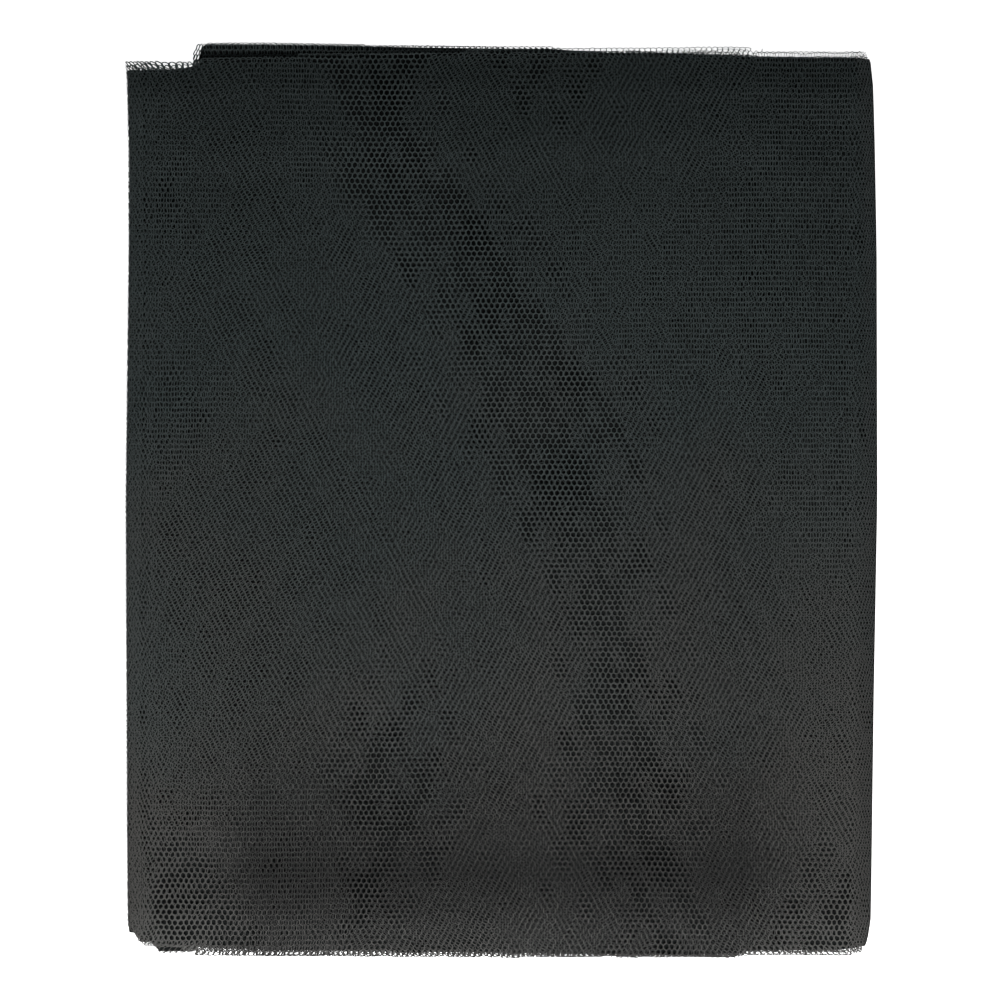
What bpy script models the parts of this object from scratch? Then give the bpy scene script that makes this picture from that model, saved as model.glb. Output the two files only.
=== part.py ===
"""Plant protection netting, folded for storage and lying flat.

The net is folded lengthwise into a band, and the band is laid back and forth into a pack. The whole pack is
one band, so it is one solid: a back-and-forth section whose leaves lie a little apart. Metres, +Z up. The
origin is on the floor under the middle of the pack. +Y runs along the pack, +X across it, from fold to fold.
"""

import math

import bmesh
import bpy
import numpy as np

MM = 0.001

# The band: eight plies of net lie together in each leaf, and the gaps keep the leaves apart.
LEAVES = 8
LEAF = 1.45 * MM
LEAF_AT_ENDS = 1.1 * MM
GAP = 0.32 * MM
PILLOW = 0.26 * MM
END_REACH = 16 * MM
SIDE_REACH = 16 * MM

# How the sides of the pack run, from its lower end to its upper end: y, left side, right side.
SIDES = np.array([
    (-152.0, -122.0, 119.8),
    (-147.4, -123.6, 121.8),
    (-141.6, -124.6, 123.1),
    (-121.5, -124.8, 123.4),
    (-66.5, -125.0, 124.1),
    (0.0, -125.3, 125.3),
    (83.5, -124.3, 125.1),
    (116.8, -124.3, 124.5),
    (137.3, -124.8, 124.0),
    (146.0, -125.1, 123.2),
    (150.0, -125.1, 121.6),
]) * MM
LOWER_END = SIDES[0, 0]
UPPER_END = SIDES[-1, 0]

# Where the plies of a leaf end, across the pack: x, upper end, lower end. The covering leaf has a turned
# corner at its lower left.
COVER_ENDS = np.array([
    (-125.0, 146.2, -138.6),
    (-122.5, 146.8, -144.0),
    (-119.0, 146.8, -147.7),
    (-116.5, 147.0, -148.2),
    (-100.0, 147.6, -149.0),
    (-33.0, 148.8, -149.7),
    (20.0, 149.4, -150.2),
    (66.0, 149.8, -151.2),
    (93.0, 149.9, -150.6),
    (116.0, 149.6, -150.7),
    (124.0, 147.6, -149.2),
]) * MM
# The leaf under it is pushed up past the others from x = -101 on, as a tab with a square end.
TAB_ENDS = np.array([
    (-125.0, 144.2, -147.5),
    (-102.6, 144.6, -149.4),
    (-100.2, 152.3, -149.6),
    (-66.0, 151.8, -150.2),
    (19.0, 150.5, -151.0),
    (80.0, 150.2, -151.6),
    (124.0, 148.4, -149.8),
]) * MM
# The outline of the other leaves. They show as a rim of net past the lower end of the covering leaf.
LOWER_LEAF_ENDS = np.array([
    (-125.0, 143.6, -146.0),
    (-117.0, 144.0, -148.0),
    (-115.0, 144.2, -151.3),
    (-67.0, 146.0, -152.0),
    (13.0, 147.4, -152.1),
    (66.0, 148.0, -152.3),
    (80.0, 148.4, -151.6),
    (124.0, 147.0, -149.6),
]) * MM
# How far the ends of those leaves lie inside their outline, from the floor up: upper end, lower end.
END_INSETS = np.array([(1.1, 0.0), (0.3, 0.7), (1.6, 0.4), (0.0, 1.5), (0.9, 0.2), (0.5, 1.0)]) * MM

# The folds from the floor up, starting on the left and changing sides: how far the fold lies inside the side
# of the pack, and how far its loop bulges, as a share of a half circle.
FOLD_INSETS = np.array([2.4, 3.3, 3.9, 2.2, 5.6, 5.0, 0.0]) * MM
FOLD_BULGES = np.array([1.15, 1.1, 1.2, 1.1, 1.15, 1.1, 1.0])
# How far the free ends of the band lie inside the right side: the one on the floor, and the covering one.
FLOOR_END_INSET = 4.5 * MM
COVER_END_INSET = 0.35 * MM
# How far the upper leaves sag at the sides, over the shoulders of the leaves below: by leaf.
LEFT_SAGS = {LEAVES - 2: 1.9 * MM, LEAVES - 1: 0.9 * MM}
RIGHT_SAGS = {LEAVES - 1: 2.9 * MM}
SHOULDER = 6.5 * MM

# The creases that show on the covering leaf. Each is a soft trough along a straight line.
CREASES = np.array([
    # x1, y1, x2, y2, depth, half width
    (-110.0, 107.0, 88.0, 110.5, 0.55, 8.0),
    (-116.0, -117.5, 104.0, -114.0, 0.50, 7.0),
    (-107.0, 96.0, -108.5, -112.0, 0.30, 5.0),
    (92.0, 104.0, 97.0, -108.0, 0.40, 7.0),
    (88.0, 107.0, 119.0, 141.0, 0.45, 6.0),
    (84.0, 20.0, 88.0, -22.0, 0.35, 5.0),
    (-38.0, -52.0, -44.0, -112.0, 0.25, 9.0),
]) * MM
# Past this line the pack is a little thinner than elsewhere.
THIN_END_FROM = 112 * MM
THIN_END = 0.9 * MM

# The grid of the band. All leaves share its stations across the pack and its rows along it. Between these and
# a side or an end, more of them are spread as shares of the way in from there.
STATIONS = np.array([-106.0, -102.6, -100.2, -55.0, -8.0, 38.0, 84.0, 95.0, 106.0]) * MM
SIDE_SHARES = np.array([0.0, 0.16, 0.34])
ROWS = np.array([-128.0, -116.0, -104.0, -60.0, 0.0, 60.0, 99.0, 109.0, 119.0, 130.0]) * MM
END_SHARES = np.array([0.0, 0.15, 0.35, 0.65])
LOOP_STEPS = 4

NET_COLOUR = (0.03, 0.033, 0.033, 1.0)
NET_ROUGHNESS = 0.62


def ease(t):
    """0 up to t = 0, 1 from t = 1 on, and a smooth rise between them."""
    t = min(1.0, max(0.0, t))
    return t * t * (3.0 - 2.0 * t)


def side_at(side, y):
    """The x of the pack's left or right side at y."""
    return float(np.interp(y, SIDES[:, 0], SIDES[:, 1 if side == "left" else 2]))


def inwards(side):
    """The direction along X from a side into the pack."""
    return 1.0 if side == "left" else -1.0


def ends_at(leaf, x):
    """The y of the lower and of the upper end of a leaf at x."""
    table, insets = LOWER_LEAF_ENDS, (0.0, 0.0)
    if leaf == LEAVES - 1:
        table = COVER_ENDS
    elif leaf == LEAVES - 2:
        table = TAB_ENDS
    else:
        insets = END_INSETS[leaf]
    lower = np.interp(x, table[:, 0], table[:, 2]) + insets[1]
    upper = np.interp(x, table[:, 0], table[:, 1]) - insets[0]
    return lower, upper


def distance_to_line(x, y, x1, y1, x2, y2):
    """How far (x, y) is from the straight line between two points."""
    share = ((x - x1) * (x2 - x1) + (y - y1) * (y2 - y1)) / ((x2 - x1) ** 2 + (y2 - y1) ** 2)
    share = min(1.0, max(0.0, share))
    return math.hypot(x - x1 - share * (x2 - x1), y - y1 - share * (y2 - y1))


def crease_depth(x, y):
    """How deep the covering leaf dips at a place. Each trough has the section of a bell curve."""
    deepest = 0.0
    for x1, y1, x2, y2, depth, half_width in CREASES:
        away = distance_to_line(x, y, x1, y1, x2, y2) / half_width
        deepest = max(deepest, depth * math.exp(-away * away))
    return deepest


def leaf_thickness(leaf, y):
    """A leaf thins towards its ends, where its plies end one by one. The one on the floor stays flat there."""
    from_end = min(y - LOWER_END, UPPER_END - y)
    return LEAF if leaf == 0 else LEAF_AT_ENDS + (LEAF - LEAF_AT_ENDS) * ease(from_end / END_REACH)


def leaf_gap(x, y):
    """The space between two leaves: wide in the soft middle, narrow at the rim of the pack and in a crease."""
    from_side = min(x - side_at("left", y), side_at("right", y) - x)
    from_end = min(y - LOWER_END, UPPER_END - y)
    pillow = ease(from_side / (2.5 * SIDE_REACH)) * ease(from_end / (2.5 * END_REACH))
    dip = crease_depth(x, y) + THIN_END * ease((y - THIN_END_FROM) / (2.0 * END_REACH))
    dip *= ease(from_side / SIDE_REACH) / (LEAVES - 1)
    return GAP + max(0.0, PILLOW * pillow - dip)


def middle_height(leaf, x, y):
    """The height of a leaf's middle over the floor: the leaves and gaps under it, and half its own thickness."""
    height = sum(leaf_thickness(lower, y) for lower in range(leaf)) + leaf * leaf_gap(x, y)
    height += leaf_thickness(leaf, y) / 2.0
    height -= LEFT_SAGS.get(leaf, 0.0) * (1.0 - ease((x - side_at("left", y)) / SHOULDER))
    height -= RIGHT_SAGS.get(leaf, 0.0) * (1.0 - ease((side_at("right", y) - x) / SHOULDER))
    return height


def fold_side(fold):
    return "left" if fold % 2 == 0 else "right"


def fold_at(leaf, side):
    """The fold that a leaf runs into at a side, or None at a free end of the band."""
    fold = leaf if fold_side(leaf) == side else leaf - 1
    return fold if 0 <= fold < LEAVES - 1 else None


def leaf_limit(leaf, side, y):
    """The x where a leaf stops at a side: where its fold starts to turn, or at its free end."""
    fold = fold_at(leaf, side)
    if fold is None:
        return side_at(side, y) + inwards(side) * (FLOOR_END_INSET if leaf == 0 else COVER_END_INSET)
    outside = side_at(side, y) + inwards(side) * FOLD_INSETS[fold]
    near = outside + inwards(side) * LEAF
    radius = (middle_height(fold + 1, near, y) - middle_height(fold, near, y)) / 2.0
    return outside + inwards(side) * (leaf_thickness(leaf, y) / 2.0 + FOLD_BULGES[fold] * radius)


def leaf_points(leaf):
    """The middle of a leaf, as an array of its stations from left to right and its rows from its lower end.

    Each place holds X, Y, Z and the thickness there.
    """
    columns = [("left", STATIONS[0], share) for share in SIDE_SHARES]
    columns += [("left", station, 1.0) for station in STATIONS]
    columns += [("right", STATIONS[-1], share) for share in SIDE_SHARES[::-1]]
    points = []
    for side, station, share in columns:
        limit = leaf_limit(leaf, side, 0.0)
        lower, upper = ends_at(leaf, limit + (station - limit) * share)
        rows = [lower + (ROWS[0] - lower) * END_SHARES, ROWS, upper + (ROWS[-1] - upper) * END_SHARES[::-1]]
        for y in np.concatenate(rows):
            limit = leaf_limit(leaf, side, y)
            x = limit + (station - limit) * share
            points.append((x, y, middle_height(leaf, x, y), leaf_thickness(leaf, y)))
    return np.array(points).reshape(len(columns), -1, 4)


def loop_points(fold, below, above):
    """The stations round a fold: a half circle in each row, from the leaf below it to the leaf above it."""
    centre, half = (below + above) / 2.0, (above - below) / 2.0
    outwards = np.array([-inwards(fold_side(fold)) * FOLD_BULGES[fold], 0.0, 0.0, 0.0])
    points = []
    for step in range(1, LOOP_STEPS):
        angle = math.pi * step / LOOP_STEPS
        points.append(centre - math.cos(angle) * half + math.sin(angle) * half[:, 2:3] * outwards)
    return np.array(points)


def band_points():
    """The middle of the whole band, from its free end on the floor to the free end of its covering leaf."""
    leaves = [leaf_points(leaf) for leaf in range(LEAVES)]
    stretches = []
    for leaf, points in enumerate(leaves):
        goes_left = fold_side(leaf) == "left"
        stretches.append(points[::-1] if goes_left else points)
        if leaf < LEAVES - 1:
            last = 0 if goes_left else -1
            stretches.append(loop_points(leaf, points[last], leaves[leaf + 1][last]))
    return np.concatenate(stretches)


def net_material():
    material = bpy.data.materials.new("black_net")
    material.use_nodes = True
    shader = material.node_tree.nodes["Principled BSDF"]
    shader.inputs["Base Color"].default_value = NET_COLOUR
    shader.inputs["Roughness"].default_value = NET_ROUGHNESS
    shader.inputs["Metallic"].default_value = 0.0
    return material


def make_netting(collection):
    """The band's middle is a grid laid on its folded shape, and Solidify gives it the thickness of its plies."""
    points = band_points()
    stations, rows = points.shape[:2]
    mesh = bpy.data.meshes.new("netting")
    grid = bmesh.new()
    bmesh.ops.create_grid(grid, x_segments=stations - 1, y_segments=rows - 1, size=0.5)
    thicknesses = []
    for vertex in grid.verts:
        station = round((vertex.co.x + 0.5) * (stations - 1))
        row = round((vertex.co.y + 0.5) * (rows - 1))
        vertex.co = points[station, row, :3]
        thicknesses.append(points[station, row, 3])
    grid.to_mesh(mesh)
    grid.free()
    mesh.materials.append(net_material())

    netting = bpy.data.objects.new("netting", mesh)
    collection.objects.link(netting)
    plies = netting.vertex_groups.new(name="plies")
    for index, thickness in enumerate(thicknesses):
        plies.add([index], thickness / LEAF, "REPLACE")

    thicken = netting.modifiers.new("plies", "SOLIDIFY")
    thicken.thickness = LEAF
    thicken.offset = 0.0
    thicken.vertex_group = plies.name


def main():
    for old in list(bpy.data.objects):
        bpy.data.objects.remove(old)
    collection = bpy.data.collections.new("folded_netting")
    bpy.context.scene.collection.children.link(collection)
    make_netting(collection)


main()
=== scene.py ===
# %% [markdown]
# # A folded plant protection net
#
# The object is one piece of fine black net, folded lengthwise into a band and then laid back and forth into a
# flat pack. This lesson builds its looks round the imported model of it. The model gives the size, the place and
# the plain folded solid, and everything finer is made here: the open mesh, the cut ends and the finish.

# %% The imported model
import math
from functools import partial, partialmethod

import bpy
import numpy as np
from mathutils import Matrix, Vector


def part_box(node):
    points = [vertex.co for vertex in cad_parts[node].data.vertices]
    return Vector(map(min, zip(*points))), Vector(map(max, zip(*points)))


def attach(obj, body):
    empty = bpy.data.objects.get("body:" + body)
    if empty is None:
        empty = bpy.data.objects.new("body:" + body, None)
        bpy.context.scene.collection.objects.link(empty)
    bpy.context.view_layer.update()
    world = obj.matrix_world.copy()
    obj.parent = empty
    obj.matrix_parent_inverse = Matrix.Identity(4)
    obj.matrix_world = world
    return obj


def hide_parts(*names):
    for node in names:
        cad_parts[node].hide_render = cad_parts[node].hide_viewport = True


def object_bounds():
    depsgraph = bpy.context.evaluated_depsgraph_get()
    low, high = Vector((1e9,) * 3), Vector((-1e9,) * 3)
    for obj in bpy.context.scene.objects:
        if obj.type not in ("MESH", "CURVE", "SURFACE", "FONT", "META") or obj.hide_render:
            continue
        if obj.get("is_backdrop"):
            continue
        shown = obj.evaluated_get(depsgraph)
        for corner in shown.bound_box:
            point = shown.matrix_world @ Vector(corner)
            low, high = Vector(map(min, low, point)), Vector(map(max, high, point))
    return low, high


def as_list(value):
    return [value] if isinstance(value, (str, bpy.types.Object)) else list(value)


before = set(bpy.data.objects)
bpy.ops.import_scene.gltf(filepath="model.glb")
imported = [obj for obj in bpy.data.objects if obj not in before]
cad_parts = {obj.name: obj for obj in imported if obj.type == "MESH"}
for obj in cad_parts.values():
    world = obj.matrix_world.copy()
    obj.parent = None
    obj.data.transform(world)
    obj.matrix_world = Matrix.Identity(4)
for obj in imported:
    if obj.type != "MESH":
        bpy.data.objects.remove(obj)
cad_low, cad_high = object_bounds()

MM = 0.001
low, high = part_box("netting")
print(f"pack: {(high - low) / MM} mm")

# %% [markdown]
# ## The outline and the height of the pack
#
# Everything that follows lies on one folded shape. So its sides, its ends and its height are functions of a
# place on the pack, written for whole arrays at once. The sides and ends are short tables of the places where
# the outline turns, joined by straight stretches, because a folded edge of net runs straight between them.

# %% The sides
LEAVES = 8
TOP = LEAVES - 1
LEAF = 1.45 * MM
LEAF_AT_ENDS = 1.1 * MM
GAP = 0.32 * MM
PILLOW = 0.26 * MM
END_REACH = 16 * MM
SIDE_REACH = 16 * MM
SHOULDER = 6.5 * MM

SIDES = np.array([
    # y, left side, right side
    (-152.0, -122.0, 119.8),
    (-147.4, -123.6, 121.8),
    (-141.6, -124.6, 123.1),
    (-121.5, -124.8, 123.4),
    (-66.5, -125.0, 124.1),
    (0.0, -125.3, 125.3),
    (83.5, -124.3, 125.1),
    (116.8, -124.3, 124.5),
    (137.3, -124.8, 124.0),
    (146.0, -125.1, 123.2),
    (150.0, -125.1, 121.6),
]) * MM
LEFT, RIGHT = 1, 2
LOWER_END, UPPER_END = SIDES[0, 0], SIDES[-1, 0]


def side(which, y):
    """The x of the left or right side of the pack at y, along straight stretches between the table's rows."""
    return np.interp(y, SIDES[:, 0], SIDES[:, which])


def ease(t):
    """3 t squared less 2 t cubed, held between 0 and 1: a smooth step."""
    t = np.clip(t, 0.0, 1.0)
    return t * t * (3.0 - 2.0 * t)


print(f"width at the middle: {(side(RIGHT, 0.0) - side(LEFT, 0.0)) / MM:.1f} mm")

# %% [markdown]
# The covering leaf has a few soft creases where the band was pressed or rubbed. Each is a trough with the
# section of a bell curve along a straight line, and they are placed one by one. A trough is shared out over the
# gaps between all leaves, so that every leaf dips a little and none cuts into the next.

# %% The creases and the gaps
CREASES = np.array([
    # x1, y1, x2, y2, depth, half width
    (-110.0, 107.0, 88.0, 110.5, 0.55, 8.0),
    (-116.0, -117.5, 104.0, -114.0, 0.50, 7.0),
    (-107.0, 96.0, -108.5, -112.0, 0.30, 5.0),
    (92.0, 104.0, 97.0, -108.0, 0.40, 7.0),
    (88.0, 107.0, 119.0, 141.0, 0.45, 6.0),
    (84.0, 20.0, 88.0, -22.0, 0.35, 5.0),
    (-38.0, -52.0, -44.0, -112.0, 0.25, 9.0),
]) * MM
THIN_END_FROM = 112 * MM
THIN_END = 0.9 * MM
THIN_SPREAD = 2.0
PILLOW_SPREAD = 2.5


def crease_depth(x, y):
    """The deepest trough at (x, y): depth times e to the minus square of the distance over the half width."""
    deepest = np.zeros(np.broadcast(x, y).shape)
    for x1, y1, x2, y2, depth, half_width in CREASES:
        share = ((x - x1) * (x2 - x1) + (y - y1) * (y2 - y1)) / ((x2 - x1) ** 2 + (y2 - y1) ** 2)
        share = np.clip(share, 0.0, 1.0)
        away = np.hypot(x - x1 - share * (x2 - x1), y - y1 - share * (y2 - y1)) / half_width
        deepest = np.maximum(deepest, depth * np.exp(-away * away))
    return deepest


def leaf_thickness(leaf, y):
    """A leaf thins towards its ends, apart from the flat one on the floor."""
    from_end = np.minimum(y - LOWER_END, UPPER_END - y)
    thin = LEAF_AT_ENDS + (LEAF - LEAF_AT_ENDS) * ease(from_end / END_REACH)
    return np.where(leaf == 0, LEAF, thin)


def leaf_gap(x, y):
    """The least gap, and a pillow's crown in the middle less the creases' share."""
    from_side = np.minimum(x - side(LEFT, y), side(RIGHT, y) - x)
    from_end = np.minimum(y - LOWER_END, UPPER_END - y)
    pillow = ease(from_side / (PILLOW_SPREAD * SIDE_REACH)) * ease(from_end / (PILLOW_SPREAD * END_REACH))
    dip = crease_depth(x, y) + THIN_END * ease((y - THIN_END_FROM) / (THIN_SPREAD * END_REACH))
    dip = dip * ease(from_side / SIDE_REACH) / (LEAVES - 1)
    return GAP + np.maximum(0.0, PILLOW * pillow - dip)


LEFT_SAGS = {TOP - 1: 1.9 * MM, TOP: 0.9 * MM}
RIGHT_SAGS = {TOP: 2.9 * MM}


def middle_height(leaf, x, y):
    """The leaves and gaps under a leaf, half of its own thickness, less its sag over the pack's shoulders."""
    height = leaf * leaf_gap(x, y) + leaf_thickness(leaf, y) / 2.0
    for lower in range(leaf):
        height = height + leaf_thickness(lower, y)
    height = height - LEFT_SAGS.get(leaf, 0.0) * (1.0 - ease((x - side(LEFT, y)) / SHOULDER))
    return height - RIGHT_SAGS.get(leaf, 0.0) * (1.0 - ease((side(RIGHT, y) - x) / SHOULDER))


print(f"height of the covering leaf's middle: {middle_height(TOP, 0.0, 0.0) / MM:.2f} mm")

# %% [markdown]
# ## The folds and the ends of the leaves
#
# The band turns over at a fold on the left, then on the right, and so on upwards. A fold stands a little
# inside the pack's side, each by its own amount, and its loop is a half circle. The ends of a leaf are cut or
# folded edges of its plies. They run unevenly, so each kind of leaf has its own short table.

# %% Folds and ends
FOLD_INSETS = np.array([2.4, 3.3, 3.9, 2.2, 5.6, 5.0, 0.0]) * MM
FOLD_BULGES = np.array([1.15, 1.1, 1.2, 1.1, 1.15, 1.1, 1.0])
FLOOR_END_INSET = 4.5 * MM
COVER_END_INSET = 0.35 * MM

COVER_ENDS = np.array([
    # x, upper end, lower end
    (-125.0, 142.8, -139.0),
    (-124.4, 143.0, -141.4),
    (-122.4, 143.0, -143.6),
    (-119.9, 143.0, -146.4),
    (-116.5, 143.0, -146.7),
    (-111.7, 143.0, -147.5),
    (-106.7, 143.4, -147.9),
    (-101.8, 144.5, -148.1),
    (-100.5, 145.3, -148.4),
    (-98.9, 147.0, -148.8),
    (-67.0, 147.6, -149.6),
    (-40.0, 148.2, -150.1),
    (13.0, 149.0, -150.5),
    (30.0, 149.0, -150.8),
    (53.0, 148.9, -151.3),
    (73.0, 148.4, -151.4),
    (86.0, 147.5, -149.4),
    (92.0, 147.4, -149.2),
    (105.0, 147.2, -150.0),
    (116.0, 147.2, -149.0),
    (124.0, 146.9, -147.8),
]) * MM
TAB_ENDS = np.array([
    (-125.0, 142.6, -138.8),
    (-122.4, 142.7, -143.4),
    (-119.9, 142.7, -146.2),
    (-106.7, 143.1, -147.8),
    (-101.0, 144.2, -148.3),
    (-100.6, 147.1, -148.5),
    (-99.9, 150.9, -148.6),
    (-98.4, 151.9, -148.7),
    (-66.0, 151.7, -149.4),
    (-34.0, 151.0, -149.8),
    (-4.0, 150.5, -150.1),
    (19.2, 150.4, -150.4),
    (20.6, 149.2, -150.5),
    (53.0, 148.8, -151.2),
    (73.0, 148.3, -151.3),
    (86.0, 147.4, -149.3),
    (105.0, 147.0, -149.8),
    (116.0, 146.8, -148.9),
    (124.0, 146.6, -147.8),
]) * MM
LOWER_LEAF_ENDS = np.array([
    (-125.0, 142.4, -138.6),
    (-122.4, 142.5, -143.2),
    (-119.9, 142.5, -146.0),
    (-116.6, 142.6, -146.8),
    (-115.4, 142.7, -148.8),
    (-113.8, 142.8, -150.3),
    (-105.0, 143.2, -150.3),
    (-100.0, 144.0, -148.6),
    (-67.0, 145.6, -149.0),
    (13.0, 147.0, -149.6),
    (50.0, 147.6, -151.3),
    (66.0, 147.6, -151.5),
    (79.0, 147.4, -151.4),
    (82.0, 147.2, -149.4),
    (124.0, 146.4, -148.0),
]) * MM
END_INSETS = np.array([(1.1, 0.2), (0.3, 0.7), (1.6, 0.4), (0.2, 1.2), (0.9, 0.0), (0.5, 0.6)]) * MM


def ends(leaf, x):
    """The y of a leaf's lower and upper end at x, straight between the rows of its table."""
    table, insets = LOWER_LEAF_ENDS, (0.0, 0.0)
    if leaf == TOP:
        table = COVER_ENDS
    elif leaf == TOP - 1:
        table = TAB_ENDS
    else:
        insets = END_INSETS[leaf]
    lower = np.interp(x, table[:, 0], table[:, 2]) + insets[1]
    upper = np.interp(x, table[:, 0], table[:, 1]) - insets[0]
    return lower, upper


def fold_side(fold):
    return LEFT if fold % 2 == 0 else RIGHT


def inwards(which):
    return 1.0 if which == LEFT else -1.0


def leaf_limit(leaf, which, y):
    """The x where a leaf stops at a side: where its fold starts to turn, or at its free end."""
    fold = leaf if fold_side(leaf) == which else leaf - 1
    if not 0 <= fold < TOP:
        return side(which, y) + inwards(which) * (FLOOR_END_INSET if leaf == 0 else COVER_END_INSET)
    outside = side(which, y) + inwards(which) * FOLD_INSETS[fold]
    near = outside + inwards(which) * LEAF
    radius = (middle_height(fold + 1, near, y) - middle_height(fold, near, y)) / 2.0
    return outside + inwards(which) * (leaf_thickness(leaf, y) / 2.0 + FOLD_BULGES[fold] * radius)


def loop(fold, below, above, steps):
    """A half circle from the leaf below a fold to the leaf above it, row by row, pushed out by its bulge."""
    angle = np.linspace(0.0, math.pi, steps + 1)[1:-1, None, None]
    outwards = -inwards(fold_side(fold))
    centre, half = (below + above) / 2.0, (above - below) / 2.0
    push = np.zeros_like(half)
    push[:, 0] = outwards * FOLD_BULGES[fold] * half[:, 2]
    return centre - np.cos(angle) * half + np.sin(angle) * push


print(f"folds on the left: {[fold for fold in range(TOP) if fold_side(fold) == LEFT]}")

# %% [markdown]
# ## A mesh from arrays
#
# Each piece below is a grid or a net with very many alike faces. Numpy works out all points at once, and one
# helper hands them to Blender. It takes faces as arrays of corners, four or three to a face, and it can store
# a place for each corner in a UV map.

# %% The mesh helper
def make_piece(name, points, quads, triangles=None, corner_maps=None):
    """A mesh object from an N x 3 array of points, an array of quads and one of triangles."""
    triangles = np.zeros((0, 3), int) if triangles is None else triangles
    corners = np.concatenate([quads.ravel(), triangles.ravel()]).astype(np.int32)
    sizes = np.concatenate([np.full(len(quads), 4), np.full(len(triangles), 3)]).astype(np.int32)
    mesh = bpy.data.meshes.new(name)
    mesh.vertices.add(len(points))
    mesh.vertices.foreach_set("co", points.astype(np.float32).ravel())
    mesh.loops.add(len(corners))
    mesh.loops.foreach_set("vertex_index", corners)
    mesh.polygons.add(len(sizes))
    mesh.polygons.foreach_set("loop_start", np.concatenate([[0], np.cumsum(sizes)[:-1]]).astype(np.int32))
    mesh.update(calc_edges=True)
    mesh.validate()
    for map_name, places in (corner_maps or {}).items():
        layer = mesh.uv_layers.new(name=map_name)
        layer.uv.foreach_set("vector", places.astype(np.float32).ravel())
    piece = bpy.data.objects.new(name, mesh)
    bpy.context.scene.collection.objects.link(piece)
    return piece


def grid_faces(across, along):
    """The quads of a grid of points that is stored column by column, with their fronts to the normal's side."""
    corner = np.arange(across * along).reshape(across, along)
    quads = [corner[:-1, :-1], corner[1:, :-1], corner[1:, 1:], corner[:-1, 1:]]
    return np.stack(quads, axis=-1).reshape(-1, 4)


print("mesh helper ready")

# %% [markdown]
# ## Shader maths in plain Python
#
# Materials are networks of nodes. One small class wraps a socket, so that sums and products of values are
# written as Python expressions, and each of them adds a Math node. Any other node comes from its one method.

# %% The node helper
class Paint:
    """A socket of a material's nodes. Operators on it add Math nodes, and node() adds any other node."""

    def __init__(self, tree, socket=None):
        self.tree = tree
        self.socket = socket

    def node(self, kind, inputs=(), output=0, **settings):
        """A node of this kind: first its settings, then a value or link for each input."""
        made = self.tree.nodes.new(kind)
        for name, setting in settings.items():
            setattr(made, name, setting)
        for name, value in dict(inputs).items():
            self.feed(made.inputs[name], value)
        return Paint(self.tree, made.outputs[output])

    def feed(self, target, value):
        """Link another socket's Paint to the target socket, or set the target to a plain value."""
        if isinstance(value, Paint):
            self.tree.links.new(value.socket, target)
        else:
            target.default_value = value

    def maths(self, operation, *others):
        return self.node("ShaderNodeMath", enumerate((self, *others)), operation=operation)

    def __rsub__(self, other):
        return self.node("ShaderNodeMath", enumerate((other, self)), operation="SUBTRACT")

    __add__ = __radd__ = partialmethod(maths, "ADD")
    __mul__ = __rmul__ = partialmethod(maths, "MULTIPLY")
    __sub__ = partialmethod(maths, "SUBTRACT")
    __truediv__ = partialmethod(maths, "DIVIDE")
    cosine = partialmethod(maths, "COSINE")
    absolute = partialmethod(maths, "ABSOLUTE")

    def clamped(self):
        return self.node("ShaderNodeClamp", {"Value": self})

    def between(self, first, second):
        """A colour that runs from the first to the second as this value goes from 0 to 1."""
        inputs = {"Factor": self, 6: first, 7: second}
        return self.node("ShaderNodeMix", inputs, output=2, data_type="RGBA")

    def parts(self):
        """The three numbers of this vector."""
        split = self.node("ShaderNodeSeparateXYZ", {"Vector": self}).socket.node
        return [Paint(self.tree, socket) for socket in split.outputs]


def new_material(name, roughness, specular):
    """A material with a Principled shader: the paint that adds nodes, and the shader's sockets."""
    material = bpy.data.materials.new(name)
    material.use_nodes = True
    shader = material.node_tree.nodes["Principled BSDF"]
    shader.inputs["Roughness"].default_value = roughness
    shader.inputs["Specular IOR Level"].default_value = specular
    return material, Paint(material.node_tree), shader.inputs


print("node helper ready")

# %% [markdown]
# ## The colour of the yarn, with its painted light and shade
#
# The yarn is spun-dyed black, which is never quite black: it returns a few hundredths of the light, with a faint
# cool cast that handling has rubbed away towards the lower end. A strand is round, so it is lightest along its
# middle: its bump follows that, and its colour gets painted shade towards its edges. The flat ribbons of the net
# below carry a UV map that says how far across and along a strand a place is, and the colour and the bump both
# follow it. The colour also carries painted light and shade: lighter shoulders towards the lower end, painted
# shade in the crease across that end, painted glints on single strands and at the knots, and darker copies of
# the yarn as painted shade for the plies under the cover.

# %% The yarn's material
YARN_COOL = (0.043, 0.056, 0.056, 1.0)
YARN_PLAIN = (0.055, 0.054, 0.051, 1.0)
BLACK = (0.0, 0.0, 0.0, 1.0)
# Painted shade towards a strand's edges, where the round yarn turns away from the light.
PAINTED_EDGE_SHADE = 0.35
STITCHES_PER_METRE = 2600.0
LOWER_FROM, LOWER_OVER = 0.03, 0.15
OUTER_FROM, OUTER_OVER = 0.08, 0.045
PLAIN_FROM, PLAIN_OVER = 0.05, 0.16
# Painted shade in the crease across the lower end, and painted light on the shoulders towards that end.
CREASE_BELOW, CREASE_HALF = 0.125, 0.056
CREASE_PAINTED_SHADE = 0.74
SHOULDER_PAINTED_LIGHT = 1.1


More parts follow.
